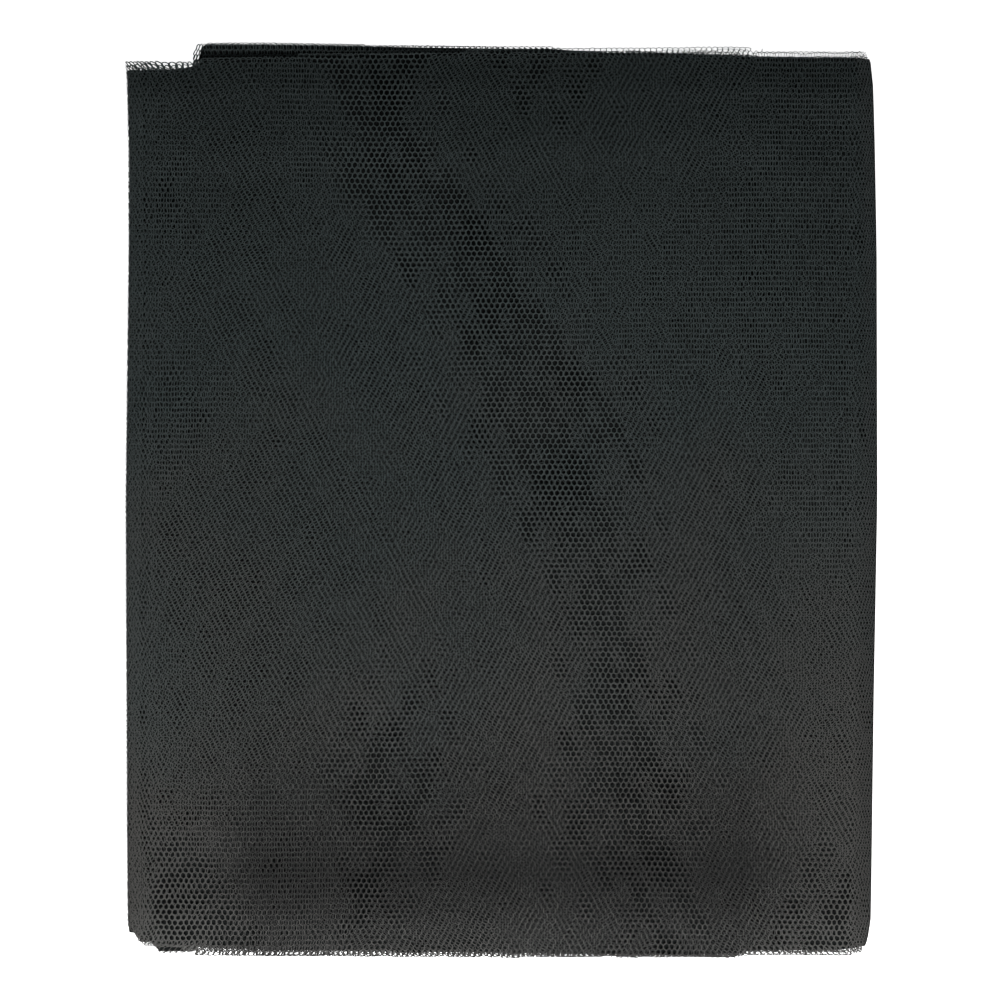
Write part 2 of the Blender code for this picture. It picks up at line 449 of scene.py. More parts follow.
def yarn_material(name, painted_lightness):
    """Colour = the cast for the place, times the ply's painted lightness, times 1 less the painted edge shade's
    share of across squared.

    The shoulders towards the lower end get painted light, and the crease across that end gets painted shade.
    """
    material, paint, shader = new_material(name, roughness=0.5, specular=0.2)
    place = paint.node("ShaderNodeTexCoord", output=3)
    across, along, _ = paint.node("ShaderNodeUVMap", uv_map="Yarn").parts()
    x, y, _ = place.parts()
    patches = paint.node("ShaderNodeTexNoise", {"Vector": place, "Scale": 24.0, "Detail": 3.0})
    lower = ((LOWER_FROM - y) / LOWER_OVER).clamped()
    outer = ((x.absolute() - OUTER_FROM) / OUTER_OVER).clamped()
    painted_crease_shade = (1.0 - (y + CREASE_BELOW).absolute() / CREASE_HALF).clamped() * (1.0 - outer)
    # Random patches, times painted light on the lower shoulders, times painted shade in the lower crease.
    patches_and_painted_light = (0.7 + patches * 0.6) * (1.0 + lower * outer * SHOULDER_PAINTED_LIGHT) * (1.0 - painted_crease_shade * CREASE_PAINTED_SHADE)
    # A painted glint: a random share for each strand and a strong one at the knots, with random tone from the
    # fibre noise.
    strand_glint, _, _ = paint.node("ShaderNodeUVMap", uv_map="PaintedGlint").parts()
    fibres = paint.node("ShaderNodeTexNoise", {"Vector": place, "Scale": 900.0, "Detail": 1.0})
    painted_glint = 0.35 + strand_glint * strand_glint * 1.3 + fibres * 0.6
    # Painted shade towards the strand's edges, times the painted glint, the patches with their painted light and
    # shade, and the ply's painted lightness.
    painted_light_and_tone = (1.0 - across * across * PAINTED_EDGE_SHADE) * painted_glint * patches_and_painted_light * painted_lightness
    plain = ((PLAIN_FROM - y) / PLAIN_OVER + (patches - 0.5) * 1.2).clamped()
    colour = plain.between(YARN_COOL, YARN_PLAIN)
    paint.feed(shader["Base Color"], painted_light_and_tone.between(BLACK, colour))
    twist = ((along * STITCHES_PER_METRE + across) * (2.0 * math.pi)).cosine() * 0.25
    height = 1.0 - across * across + twist
    bump = paint.node("ShaderNodeBump", {"Height": height, "Strength": 0.5, "Distance": 0.1 * MM})
    paint.feed(shader["Normal"], bump)
    return material


# The same yarn in three copies. The cover's copy is fully lit, and the two plies under it get darker copies as
# painted shade from the plies above.
COVER_YARN = yarn_material("yarn_cover", 1.05)
SECOND_YARN_PAINTED_SHADE = yarn_material("yarn_second_painted_shade", 0.64)
THIRD_YARN_PAINTED_SHADE = yarn_material("yarn_third_painted_shade", 0.4)
print("yarn materials:", COVER_YARN.name, SECOND_YARN_PAINTED_SHADE.name, THIRD_YARN_PAINTED_SHADE.name)

# %% [markdown]
# ## The inside of the leaves
#
# Each leaf is a stack of eight plies of net, so little light gets through it. A net for each of those plies
# would be millions of strands, so the inside of the band is one closed sheet that is folded as the pack is, and
# open nets lie round it. Its colour is painted shade: nearly black, far darker than the yarn, with the faint
# rows of the plies that lie just under the open ones. A row pattern of hexagons is the sum of three cosine waves
# that cross at sixty degrees.

# %% The dense material
PITCH = 1.845 * MM
ROW = 1.735 * MM
# Painted shade: the deeper plies are drawn far darker than the yarn itself, with their strands a little lighter
# than their holes.
PAINTED_SHADE_DARK = (0.0004, 0.0005, 0.0005, 1.0)
PAINTED_SHADE_LIGHT = (0.010, 0.011, 0.011, 1.0)
DENSE_TURN = math.radians(3.0)


def dense_material():
    """Painted shade of the deeper plies: lightness = soft patches less a sixth of three cosine waves across the
    mesh's rows, a little turned.
    """
    material, paint, shader = new_material("dense_plies_painted_shade", roughness=0.8, specular=0.03)
    place = paint.node("ShaderNodeTexCoord", output=3)
    turned = paint.node("ShaderNodeMapping", {"Vector": place, "Rotation": (0.0, 0.0, DENSE_TURN)})
    x, y, _ = turned.parts()
    across = x * (2.0 * math.pi / PITCH)
    along = y * (math.pi / ROW)
    waves = (along * 2.0).cosine() + (across + along).cosine() + (across - along).cosine()
    patches = paint.node("ShaderNodeTexNoise", {"Vector": place, "Scale": 30.0, "Detail": 2.0})
    painted_lightness = (waves / -6.0 + patches).clamped()
    paint.feed(shader["Base Color"], painted_lightness.between(PAINTED_SHADE_DARK, PAINTED_SHADE_LIGHT))
    return material


DENSE_PAINTED_SHADE = dense_material()
print("dense material:", DENSE_PAINTED_SHADE.name)

# %% [markdown]
# The folded sheet itself is worked out as its middle line first: along the lowest leaf, round the first fold,
# back along the next leaf and so on to the covering one. Its columns stand close together near the sides,
# where the leaves sag and fold, and at the step of the tab. Each point then moves half of the thickness along
# the surface's normal, once up and once down, and the two grids are closed round their rim.

# %% The folded middle line
STATIONS = np.array([
    -116.6, -115.4, -113.8, -105.0, -101.0, -100.6, -99.9, -98.4, -90.0, -72.0, -55.0,
    -32.0, -8.0, 15.0, 38.0, 60.0, 80.0, 84.0, 95.0, 106.0,
]) * MM
SIDE_SHARES = np.array([0.0, 0.07, 0.15, 0.25, 0.4, 0.6, 0.8])
ROW_SHARES = np.concatenate([[0.0, 0.004, 0.012], np.linspace(0.03, 0.97, 30), [0.988, 0.996, 1.0]])
LOOP_STEPS = 9


def leaf_grid(leaf):
    """Columns from left to right at shares of the width and at the stations, rows from end to end.

    The sides depend on y and the ends on x, so both are worked out three times, each from the last.
    """
    y = np.broadcast_to(LOWER_END + ROW_SHARES * (UPPER_END - LOWER_END), (2, len(ROW_SHARES)))
    for _ in range(3):
        left, right = leaf_limit(leaf, LEFT, y[0]), leaf_limit(leaf, RIGHT, y[-1])
        near_left = left + SIDE_SHARES[:, None] * (STATIONS[0] - left)
        near_right = right + SIDE_SHARES[::-1, None] * (STATIONS[-1] - right)
        inner = np.repeat(STATIONS[:, None], len(ROW_SHARES), axis=1)
        x = np.concatenate([near_left, inner, near_right])
        lower, upper = ends(leaf, x)
        y = lower + ROW_SHARES * (upper - lower)
    return np.stack([x, y, middle_height(leaf, x, y)], axis=-1)


def folded_middle():
    """All leaves in turn, every second one from right to left, with a loop between each two."""
    grids = [leaf_grid(leaf) for leaf in range(LEAVES)]
    grids = [grid[::-1] if leaf % 2 == 0 else grid for leaf, grid in enumerate(grids)]
    line = [grids[0]]
    for fold in range(TOP):
        below, above = grids[fold][-1], grids[fold + 1][0]
        line.append(loop(fold, below, above, LOOP_STEPS))
        line.append(grids[fold + 1])
    return np.concatenate(line)


def normals(grid):
    """The unit cross product of the steps along columns and rows of a grid of points."""
    crossed = np.cross(np.gradient(grid, axis=0), np.gradient(grid, axis=1))
    return crossed / np.linalg.norm(crossed, axis=-1, keepdims=True)


def thick_sheet(name, middle, thickness):
    """The middle grid moved both ways along its normals by half the thickness, and closed round the rim."""
    across, along = middle.shape[:2]
    half = normals(middle) * thickness / 2.0
    points = np.concatenate([(middle + half).reshape(-1, 3), (middle - half).reshape(-1, 3)])
    quads = grid_faces(across, along)
    corner = np.arange(across * along).reshape(across, along)
    rim = np.concatenate([corner[:-1, 0], corner[-1, :-1], corner[:0:-1, -1], corner[0, :0:-1]])
    after = np.roll(rim, -1)
    under = across * along
    walls = np.stack([rim, rim + under, after + under, after], axis=-1)
    return make_piece(name, points, np.concatenate([quads, quads[:, ::-1] + under, walls]))


DENSE_THICKNESS = 0.9 * MM
middle = folded_middle()
inside = thick_sheet("netting_inside", middle, DENSE_THICKNESS)
inside.data.materials.append(DENSE_PAINTED_SHADE)
inside.data.shade_smooth()
print(f"inside: {len(inside.data.polygons)} quads from {middle.shape[0]} columns by {middle.shape[1]} rows")

# %% [markdown]
# ## A surface to lay the net on
#
# A ply of net is a flat thing that follows the band: the cover's comes up round the last fold, goes over the
# top and turns down at the free end. So the surface is kept as a table: for each place across and along the
# cloth, its point in space and its normal. The path is measured along the cloth, and the middle of the pack
# is its zero, so a mesh that is laid out flat on the table keeps its size where it bends down at the sides.

# %% The drape table
TABLE_STEP = 0.5 * MM
TABLE_HALF = 140 * MM
ROWS_STEP = 2 * MM
ROWS_HALF = 154 * MM
END_RADIUS = 0.9 * MM
CAP_COLUMNS = 6
COVER_COLUMNS = 500
LEAF_COLUMNS = 300
ROUND_STEPS = 16
table_u = np.arange(-TABLE_HALF, TABLE_HALF, TABLE_STEP)
table_v = np.arange(-ROWS_HALF, ROWS_HALF + ROWS_STEP, ROWS_STEP)


def leaf_line(leaf, start, stop, count):
    """Middle points of a leaf for every table row, between two arrays of x."""
    share = np.linspace(0.0, 1.0, count)[:, None]
    x = start + share * (stop - start)
    y = np.broadcast_to(table_v, x.shape)
    return np.stack([x, y, middle_height(leaf, x, y)], axis=-1)


def drape_table(line, cap_columns=0):
    """Measure a grid of points along its columns and read points and normals at even steps of that length.

    The line may end in a round cap: there the point stays and the normal turns outwards. Beside the table
    come the path's own start and end for each row.
    """
    out = normals(line)
    if cap_columns:
        angle = np.linspace(0.0, math.pi / 2.0, cap_columns + 1)[1:, None, None]
        end, up = line[-1], out[-1]
        ahead = np.cross(up, np.array([0.0, 1.0, 0.0])) * -1.0
        out = np.concatenate([out, np.cos(angle) * up + np.sin(angle) * ahead])
        line = np.concatenate([line, np.repeat(end[None], cap_columns, axis=0)])
    skin = line + out * END_RADIUS
    steps = np.linalg.norm(np.diff(skin, axis=0)[..., [0, 2]], axis=-1)
    length = np.concatenate([np.zeros((1, steps.shape[1])), np.cumsum(steps, axis=0)])
    table = np.empty((len(table_u), len(table_v), 6))
    limits = np.empty((len(table_v), 2))
    both = np.concatenate([line, out], axis=-1)
    for row in range(len(table_v)):
        highest = np.argmin(np.abs(line[:, row, 0]))
        along = length[:, row] - length[highest, row] + line[highest, row, 0]
        limits[row] = along[0], along[-1]
        for part in range(6):
            table[:, row, part] = np.interp(table_u, along, both[:, row, part])
    return table, limits


def lay(table, u, v, height):
    """Points of the table at (u, v) by weighing its four nearest entries, moved out along the normal."""
    column = np.clip((u - table_u[0]) / TABLE_STEP, 0.0, len(table_u) - 1.001)
    row = np.clip((v - table_v[0]) / ROWS_STEP, 0.0, len(table_v) - 1.001)
    c, r = column.astype(int), row.astype(int)
    fc, fr = (column - c)[..., None], (row - r)[..., None]
    lower = table[c, r] * (1.0 - fc) + table[c + 1, r] * fc
    upper = table[c, r + 1] * (1.0 - fc) + table[c + 1, r + 1] * fc
    entry = lower * (1.0 - fr) + upper * fr
    placed = entry[..., :3] + entry[..., 3:] * height
    placed[..., 1] = v
    return placed


def cover_line():
    """From the outermost line of the last fold on the left, up and over the covering leaf to its right end."""
    left, right = leaf_limit(TOP, LEFT, table_v), leaf_limit(TOP, RIGHT, table_v) - END_RADIUS
    over = leaf_line(TOP, left, right, COVER_COLUMNS)
    fold_left = leaf_limit(TOP - 1, LEFT, table_v)
    under = leaf_line(TOP - 1, fold_left, fold_left, 1)
    upper_half = loop(TOP - 1, under[0], over[0], ROUND_STEPS)[ROUND_STEPS // 2 - 1:]
    return np.concatenate([upper_half, over])


cover_path = drape_table(cover_line(), CAP_COLUMNS)
cover_limits = cover_path[1]
print(f"the cover ply runs from {cover_limits[:, 0].min() / MM:.1f} to {cover_limits[:, 1].max() / MM:.1f} mm")

# %% [markdown]
# ## The mesh
#
# This net is knitted in hexagons. Upright pillars of stitches stand in staggered rows, and from each pillar's
# top two short strands lean out to the next row's pillars. A strand is a flat ribbon here, with the round look
# left to the material, because a ply has some twenty-five thousand pillars. Where three strands meet, their
# edges cross in three corners, so the ribbons join without gaps or overlaps in one small triangle.

# %% The lattice
PILLAR = 1.09 * MM
PILLAR_YARN = 0.3 * MM
SLANT_YARN = 0.25 * MM
SLANT_X, SLANT_Y = PITCH / 2.0, ROW - PILLAR
SLANT = math.hypot(SLANT_X, SLANT_Y)
UNEVEN = 0.09 * MM
V_RANGE = (LOWER_END - 2 * MM, UPPER_END + 3 * MM)
RANGE_MARGIN = 5 * MM


def whole_range(limits, margin=RANGE_MARGIN):
    """The span of u that holds a path in all of its rows, and a margin at both sides."""
    return limits[:, 0].min() - margin, limits[:, 1].max() + margin


def on_path(limits, u, v):
    """Whether a place lies within the path's own start and end for its row."""
    return (u > np.interp(v, table_v, limits[:, 0])) & (u < np.interp(v, table_v, limits[:, 1]))


def lattice(u_range, start):
    """Pillar (i, j) at u = (i + half for odd j) pitches and v = j rows, and an array that marks odd rows."""
    i = np.arange(math.floor(u_range[0] / PITCH), math.ceil(u_range[1] / PITCH) + 1)[:, None]
    j = np.arange(math.floor(V_RANGE[0] / ROW), math.ceil(V_RANGE[1] / ROW) + 1)[None, :]
    odd = j % 2 + 0 * i
    return (i + 0.5 * odd) * PITCH + start[0], j * ROW + 0.0 * i + start[1], odd


def junction_corners():
    """Where the edges of a pillar and of its two leaning strands cross at its top: left, right and tip."""
    toward_x, toward_y = SLANT_X / SLANT, SLANT_Y / SLANT
    beside = (toward_y * PILLAR_YARN - SLANT_YARN) / (2.0 * toward_x)
    tip = SLANT_YARN / (2.0 * toward_x)
    return np.array([(-PILLAR_YARN / 2.0, beside), (PILLAR_YARN / 2.0, beside), (0.0, tip)])


def place_pillars(path, u_range, start, seed, shift, cut, thicken):
    """The (u, v) of six corners for each pillar, whether it is made, and whether its row is odd.

    shift(u, v) moves its foot and head, and keep(v, x) says whether it is made. squeeze(u, v) gives v with what
    lies past an end pressed to it, and thicken(u, v) how many times wider the yarn is across and along.
    """
    table, limits = path
    keep, squeeze = cut
    u, v, odd = lattice(u_range, start)
    junctions = np.stack([u, v], axis=-1)[:, :, None, :] + np.array([(0.0, 0.0), (0.0, PILLAR)])
    junctions = junctions + np.random.default_rng(seed).normal(0.0, UNEVEN, junctions.shape)
    junctions = junctions + shift(junctions[..., 0], junctions[..., 1])
    middle_u, middle_v = np.moveaxis(junctions.mean(axis=2), -1, 0)
    x = lay(table, middle_u, middle_v, 0.0)[..., 0]
    made = keep(middle_v, x) & on_path(limits, middle_u, middle_v)
    if squeeze is not None:
        junctions[..., 1] = squeeze(junctions[..., 0], junctions[..., 1])
    corners = np.stack([junction_corners() * (1.0, -1.0), junction_corners()])
    if thicken is not None:
        corners = corners * thicken(u, v)[:, :, None, None, :]
    return (junctions[:, :, :, None, :] + corners).reshape(-1, 2), made, odd


print(f"one mesh repeat is {PITCH / MM} by {2 * ROW / MM} mm, with pillars {PILLAR_YARN / MM} mm thick")

# %% The strands
CORNERS = 6
# The painted glint at the knots.
KNOT_PAINTED_GLINT = 0.95
GLINT_SEED = 100


def knit(made, odd):
    """Quads for the pillars and for the strands that lean right and left, and a triangle for each junction.

    A pillar has six corners in a row: left, right and tip of its foot, then of its head. Past the last
    pillars, a junction that two strands lead to is made as well, so an end is a closed zigzag.
    """
    columns, rows = np.indices(made.shape)
    framed = np.pad(made, 1)
    to_right, to_left = columns + odd, columns + odd - 1
    has_foot = made | (framed[to_right + 1, rows] & framed[to_left + 1, rows])
    has_head = made | (framed[to_right + 1, rows + 2] & framed[to_left + 1, rows + 2])
    number = np.arange(made.size * CORNERS).reshape(*made.shape, CORNERS)
    foot_left, foot_right, foot_tip, head_left, head_right, head_tip = np.moveaxis(number, -1, 0)
    quads = [np.stack([foot_left, foot_right, head_right, head_left], axis=-1)[made]]
    tips = [np.stack([foot_tip, foot_right, foot_left], axis=-1)[has_foot]]
    tips.append(np.stack([head_left, head_right, head_tip], axis=-1)[has_head])
    for lean, beside in ((1, to_right), (-1, to_left)):
        within = (beside >= 0) & (beside < made.shape[0]) & (rows + 1 < made.shape[1])
        beside, above = np.where(within, beside, 0), np.where(within, rows + 1, 0)
        joined = has_head & within & has_foot[beside, above]
        if lean > 0:
            strand = [head_right, foot_tip[beside, above], foot_left[beside, above], head_tip]
        else:
            strand = [head_tip, foot_right[beside, above], foot_tip[beside, above], head_left]
        quads.append(np.stack(strand, axis=-1)[joined])
    return quads, np.concatenate(tips)


def corner_maps(quads, tips, seed):
    """Each corner's place across and along its strand, and a random painted glint for each strand, with a strong
    one at each knot.
    """
    upright = [(-1.0, 0.0), (1.0, 0.0), (1.0, PILLAR), (-1.0, PILLAR)]
    right_way = [(-1.0, 0.0), (-1.0, SLANT), (1.0, SLANT), (1.0, 0.0)]
    left_way = [(1.0, 0.0), (1.0, SLANT), (-1.0, SLANT), (-1.0, 0.0)]
    kinds = zip((upright, right_way, left_way), quads)
    places = [np.tile(kind, (len(group), 1)) for kind, group in kinds]
    places = np.concatenate(places + [np.zeros((tips.size, 2))])
    strands = sum(len(group) for group in quads)
    glints = np.random.default_rng(seed + GLINT_SEED).random((strands, 2)).repeat(4, axis=0)
    glints = np.concatenate([glints, np.full((tips.size, 2), KNOT_PAINTED_GLINT)])
    return {"Yarn": places, "PaintedGlint": glints}


print("a strand is one quad, and a junction is one triangle")

# %% The net builder
def net_piece(name, path, height, yarn, cut, shift, seed=1, start=(0.0, 0.0), u_range=None, thicken=None):
    """A ply of net in this yarn, at a height over a path. Corners that no face uses are left out."""
    u_range = u_range or whole_range(path[1])
    corners, made, odd = place_pillars(path, u_range, start, seed, shift, cut, thicken)
    quads, tips = knit(made, odd)
    maps = corner_maps(quads, tips, seed)
    quads = np.concatenate(quads)
    used, renumbered = np.unique(np.concatenate([quads.ravel(), tips.ravel()]), return_inverse=True)
    points = lay(path[0], corners[used, 0], corners[used, 1], height)
    new_quads = renumbered[:quads.size].reshape(-1, 4)
    new_tips = renumbered[quads.size:].reshape(-1, 3)
    piece = make_piece(name, points, new_quads, new_tips, maps)
    piece.data.materials.append(yarn)
    print(f"{name}: {2 * len(new_quads) + len(new_tips)} triangles, {made.sum()} pillars")
    return piece


print("net builder ready")

# %% [markdown]
# ## The open plies of the covering leaf
#
# The bands of bright and dark, and the stripes that lean left or right, are a moiré. The upper plies are the
# same net, but each lies a little stretched and shifted over the next. Where their holes fall together the mesh
# is clear and dark. A shift of half a mesh along one of the net's three directions leaves stripes in that
# direction, and other shifts fill the holes. So the second ply's shift is listed at some sixty places of the
# pack, in pitches across and rows up, and every place between takes the mean of those near it. The third ply is
# shifted as far the other way. After half a mesh it lies over the second, which keeps the stripes clean.

# %% The shift of the second ply
SHIFT_REACH = 25 * MM
SECOND_SHIFTS = np.array([
    # x, y, pitches across, rows up
    (-45, 147, 0.06, 0.04),
    (-38, 125, 0.06, 0.06),
    (-25, 95, 0.06, 0.06),
    (-10, 62, 0.06, 0.07),
    (6, 30, 0.07, 0.07),
    (24, 2, 0.07, 0.08),
    (38, -30, 0.07, 0.08),
    (45, -75, 0.05, 0.07),
    (47, -115, 0.04, 0.05),
    (48, -140, 0.05, -0.2),
    (60, 0, 0.25, 0.45),
    (62, -40, 0.25, 0.45),
    (64, -72, 0.22, 0.4),
    (84, -130, 0.25, 0.5),
    (99, -140, 0.46, 0.92),
    (112, -138, 0.5, 1.0),
    (92, -62, 0.25, 0.4),
    (88, -110, 0.55, 0.35),
    (85, 32, 0.3, 0.3),
    (115, 5, 0.5, 0.0),
    (112, -52, 0.7, 0.4),
    (110, 60, 0.5, 0.0),
    (85, 90, 0.5, 0.0),
    (110, 125, 0.5, 0.0),
    (22, 92, 0.3, -0.1),
    (45, 75, 0.5, -0.3),
    (-13, 130, 0.25, -0.5),
    (10, 140, 0.5, -1.0),
    (30, 132, 0.5, -0.55),
    (56, 128, 0.72, -0.5),
    (-27, 52, -0.25, -0.5),
    (-42, 62, -0.25, -0.5),
    (-62, 68, -0.5, -0.5),
    (-80, 66, -0.75, -0.5),
    (-66, 132, -0.5, 0.0),
    (-88, 130, -0.8, -0.4),
    (-105, 110, -1.0, -1.0),
    (-108, 30, -1.0, -1.0),
    (-24, 15, -0.25, -0.5),
    (-47, 10, -0.75, -0.5),
    (-85, -5, -0.75, -0.5),
    (-10, -15, -0.25, -0.5),
    (10, -35, -0.22, -0.45),
    (14, -62, -0.25, -0.5),
    (-18, -32, -0.65, -0.45),
    (-42, -36, -0.7, -0.6),
    (-12, -80, -0.25, -0.55),
    (-40, -70, -0.5, -0.95),
    (-37, -100, -0.5, -1.0),
    (-29, -120, -0.5, -1.0),
    (-27, -145, -0.28, -0.52),
    (34, -112, 0.03, 0.0),
    (41, -97, 0.04, 0.04),
    (5, -98, -0.1, -0.6),
    (-58, -66, -0.75, -0.5),
    (-88, -80, -0.8, -0.55),
    (-78, -112, -1.0, -1.0),
    (-68, -132, -1.0, -1.0),
    (-108, -134, -1.5, -1.0),
    (-94, -142, -1.5, -1.0),
    (-108, -70, -0.9, -0.7),
    (-5, -135, -0.22, -0.5),
    (18, -137, -0.05, -0.5),
    (30, -135, 0.25, -0.5),
    (118, -100, 0.65, 0.6),
]) * (MM, MM, PITCH, ROW)


def nearby_mean(table, reach, x, y):
    """The mean of the table's last two columns, weighed by e to the minus squared distance over reach."""
    total, weights = np.zeros((*x.shape, 2)), np.full(x.shape, 1e-9)
    for row in table:
        weight = np.exp(-((x - row[0]) ** 2 + (y - row[1]) ** 2) / (reach * reach))
        total += weight[..., None] * row[2:]
        weights += weight
    return total / weights[..., None]


print(f"{len(SECOND_SHIFTS)} places set the shift of the second ply")

# %% [markdown]
# All plies share a slow sway, so that no row is straight. Their meshes are drawn closer towards the sides and
# lean past the ends of the leaf. Each lower ply also wanders a little, which blurs the moiré.

# %% The sway of all plies
LEFT_TIGHT_FROM, RIGHT_TIGHT_FROM = -115 * MM, 115 * MM
TIGHT_REACH = 6 * MM
TIGHT_SHARE = 0.45
STRIP_LOOKS = np.array([
    # x, lean of the upper and of the lower strip, width of the upper and of the lower strip's yarn
    (-125, -0.8, 0.8, 2.6, 1.6),
    (-112, -0.8, 0.8, 2.6, 1.6),
    (-107, 0.0, 0.8, 2.6, 2.4),
    (-103, -0.4, 0.7, 2.2, 2.6),
    (-90, 0.0, 0.3, 1.2, 2.4),
    (80, 0.0, 0.0, 1.0, 2.4),
    (92, 0.0, -0.8, 0.9, 2.6),
    (110, 0.2, -0.8, 0.9, 2.0),
    (125, 0.6, -0.3, 1.2, 1.6),
]) * (MM, 1.0, 1.0, 1.0, 1.0)
LEAN_UP, LEAN_DOWN, WIDTH_UP, WIDTH_DOWN = 1, 2, 3, 4


def strip_look(u, column):
    return np.interp(u, STRIP_LOOKS[:, 0], STRIP_LOOKS[:, column])


def tightened(past):
    """How far the mesh is drawn in past a line: the share of past squared, over past and the reach."""
    past = np.maximum(past, 0.0)
    return TIGHT_SHARE * past * past / (past + TIGHT_REACH)


def sway(u, v):
    """The top ply's own unevenness: long waves across and along, closer meshes at the sides, leaning ends."""
    across = 0.35 * np.sin(v / (31 * MM) + u / (90 * MM)) + 0.12 * np.sin(v / (9 * MM) - u / (23 * MM))
    along = 0.3 * np.sin(u / (37 * MM) - v / (120 * MM)) + 0.1 * np.sin(u / (8 * MM) + v / (33 * MM))
    drawn_in = tightened(LEFT_TIGHT_FROM - u) - tightened(u - RIGHT_TIGHT_FROM)
    lower, upper = ends(TOP, u)
    up, down = np.maximum(v - upper, 0.0), np.minimum(v - lower, 0.0)
    across = across * MM + drawn_in + up * strip_look(u, LEAN_UP) + down * strip_look(u, LEAN_DOWN)
    return np.stack([across, along * MM], axis=-1)


print(f"the meshes are drawn in by {tightened(10 * MM) / MM:.1f} mm at 10 mm past the line")

# %% The wander of the lower plies
WANDER = 0.19 * MM
THIRD_SHARE = -1.0
SECOND_TURN, THIRD_TURN = 1.0, 4.0
LEFT_CLOSED = np.array([-1.25 * PITCH, -0.5 * ROW])
RIGHT_CLOSED = np.array([0.75 * PITCH, 0.5 * ROW])


def wander(u, v, turn):
    """A ply's small drift against the others: waves of one to three centimetres in both directions."""
    across = np.sin(u / (3.1 * MM) + v / (4.6 * MM) + turn)
    across = across + np.sin(v / (1.7 * MM) - u / (2.9 * MM) + 2.0 * turn)
    along = np.sin(u / (2.7 * MM) - v / (5.2 * MM) + 3.0 * turn)
    along = along + np.sin(v / (3.4 * MM) + u / (1.6 * MM) - turn)
    return np.stack([across, along], axis=-1) * WANDER


def apart(u, v):
    """The second ply's shift, which goes over to one that leaves steep stripes at the sides."""
    shift = nearby_mean(SECOND_SHIFTS, SHIFT_REACH, u, v)
    at_left = ease((LEFT_TIGHT_FROM - u) / TIGHT_REACH)[..., None]
    at_right = ease((u - RIGHT_TIGHT_FROM) / TIGHT_REACH)[..., None]
    return shift + at_left * (LEFT_CLOSED - shift) + at_right * (RIGHT_CLOSED - shift)


def second_shift(u, v):
    return sway(u, v) + wander(u, v, SECOND_TURN) + apart(u, v)


def third_shift(u, v):
    return sway(u, v) + wander(u, v, THIRD_TURN) + THIRD_SHARE * apart(u, v)


print(f"at its sides the second ply is shifted by {LEFT_CLOSED / MM} and {RIGHT_CLOSED / MM} mm")

# %% [markdown]
# The top ply reaches a few rows past the dense leaf at both ends, and the two under it a little less far.
# These see-through strips are where the single ply shows best, and their edges step and slant as the cut does.
# Their yarn has drawn together, so it is wider, and what lies past a cut is pressed to it as one closed line.

# %% Three plies over the cover
STRIP_ENDS = np.array([
    # x, upper end, lower end
    (-125.0, 146.5, -139.4),
    (-122.0, 146.5, -144.8),
    (-119.0, 146.3, -147.9),
    (-116.6, 146.2, -148.2),
    (-106.0, 146.0, -149.0),
    (-103.0, 146.0, -150.6),
    (-99.8, 146.8, -150.9),
    (-67.0, 148.1, -151.3),
    (-40.0, 149.0, -151.6),
    (13.0, 150.0, -151.8),
    (46.0, 150.4, -151.6),
    (53.0, 150.5, -151.5),
    (65.5, 150.7, -152.0),
    (76.0, 150.6, -151.9),
    (82.0, 150.2, -150.8),
    (94.0, 149.6, -150.6),
    (113.5, 149.2, -150.9),
    (120.5, 149.9, -150.6),
    (124.0, 148.6, -149.0),
]) * MM
PRESSED = 0.5
NARROW_SHARE = 0.45


def strip_ends(x):
    """The y of the lower and upper end of the see-through strips at x."""
    lower = np.interp(x, STRIP_ENDS[:, 0], STRIP_ENDS[:, 2])
    return lower, np.interp(x, STRIP_ENDS[:, 0], STRIP_ENDS[:, 1])


def pressing(limits):
    """A function that presses what lies past the limits close to them, so that it ends as a closed line."""
    def squeeze(u, v):
        lower, upper = limits(u)
        pressed = np.where(v > upper, upper + (v - upper) * PRESSED, v)
        return np.where(v < lower, lower + (v - lower) * PRESSED, pressed)
    return squeeze


def cut_at(ends_at, further_down=0.0, further_up=0.0):
    """A test that keeps the pillars between the ends, and a function that presses what is past them."""
    def limits(x):
        lower, upper = ends_at(x)
        return lower - further_down, upper + further_up

    def keep(v, x):
        lower, upper = limits(x)
        return (v > lower) & (v < upper)
    return keep, pressing(limits)


def yarn_widths(u, v):
    """1 over most of the pack, and wider in the end strips, where the yarn has drawn together.

    At the sides it is less across, because the cloth turns away there and its meshes close up.
    """
    lower, upper = ends(TOP, u)
    wide = 1.0 + (strip_look(u, WIDTH_UP) - 1.0) * ease((v - upper) / MM + 1.0)
    wide = wide + (strip_look(u, WIDTH_DOWN) - 1.0) * ease((lower - v - PILLAR) / MM + 1.0)
    beside = np.maximum(LEFT_TIGHT_FROM - u, u - RIGHT_TIGHT_FROM)
    narrow = 1.0 - NARROW_SHARE * ease(beside / (2.0 * TIGHT_REACH))
    return np.stack([wide * narrow, 0.7 + 0.3 * wide], axis=-1)


second_cut = cut_at(strip_ends, -0.4 * MM, -0.8 * MM)
third_cut = cut_at(strip_ends, -0.2 * MM, -2.2 * MM)
cover = net_piece("netting_cover", cover_path, 0.95 * MM, COVER_YARN, cut_at(strip_ends), sway,
                  thicken=yarn_widths)
second = net_piece("netting_second", cover_path, 0.78 * MM, SECOND_YARN_PAINTED_SHADE, second_cut, second_shift,
                   seed=2, thicken=yarn_widths)
third = net_piece("netting_third", cover_path, 0.62 * MM, THIRD_YARN_PAINTED_SHADE, third_cut, third_shift,
                  seed=3, thicken=yarn_widths)

# %% [markdown]
# ## The lowest ply, the folds and the ends
#
# Seen from the side, the pack is a stack of rounded folds, and seen from an end it is a stack of cut edges.
# The same net goes round each fold as a narrow strip, and each end gets a few rows of mesh that stand a little
# past the dense inside, which is where the background shows through it.

